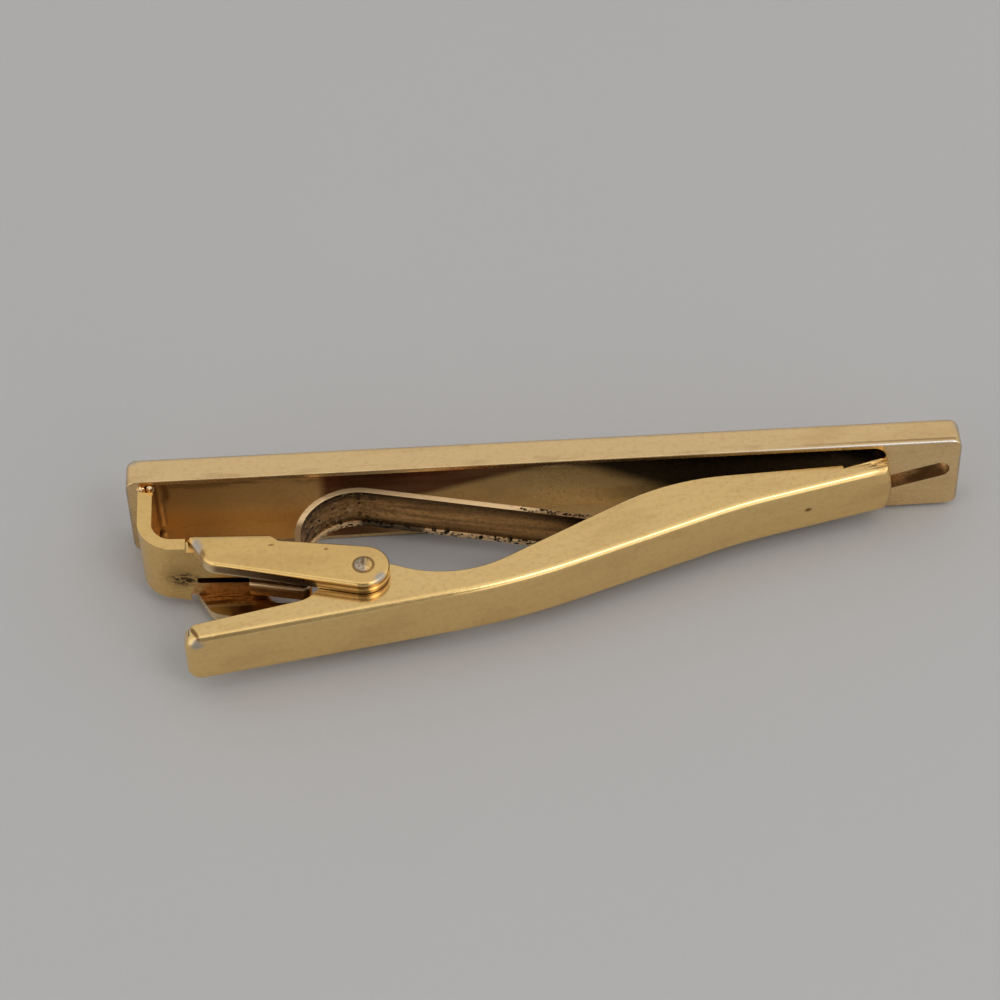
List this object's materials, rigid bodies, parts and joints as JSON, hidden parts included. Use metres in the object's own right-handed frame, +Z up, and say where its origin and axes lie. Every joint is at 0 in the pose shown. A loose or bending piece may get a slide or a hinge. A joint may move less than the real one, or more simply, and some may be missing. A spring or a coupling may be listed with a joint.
{
  "type": "tie clip",
  "caption": "Sprung tie clip: a tapered, tray-backed bar with a soldered hinge bracket, and a pivoting channel arm that a bent leaf spring holds shut against the bar.",
  "frame": {"origin": "bottom centre of the whole clip's box, with the clip lying on the long edge of its bar as pictured", "axes": "+X along the bar from the hinge end to the jaw end, +Y out of the bar's front face, +Z up along the hinge pin"},
  "size_m": [0.0562, 0.0152, 0.0068],
  "materials": {
    "gold_plate": "satin-polished gold plate, lightly worn",
    "leaf_gold": "tarnished gold plate with bright edges",
    "pin_steel": "bright, slightly marked",
    "braze": "rough, tarnished"
  },
  "bodies": {
    "bar": {"front_bar": "gold_plate", "hinge_bracket": "gold_plate", "bracket_solder": "braze", "pivot_pin": "pin_steel"},
    "arm": {"clip_arm": "gold_plate", "leaf_spring": "leaf_gold", "leaf_braze": "braze"}
  },
  "joints": [
    {"name": "arm_hinge", "type": "hinge", "parent": "bar", "child": "arm", "pos_m": [-0.0124, -0.00268, 0.0034], "axis": [0, 0, -1], "range_deg": [0, 24], "stiffness_Nm_per_rad": 0.05, "springref_deg": -45.84, "deforming": ["leaf_spring"]}
  ]
}
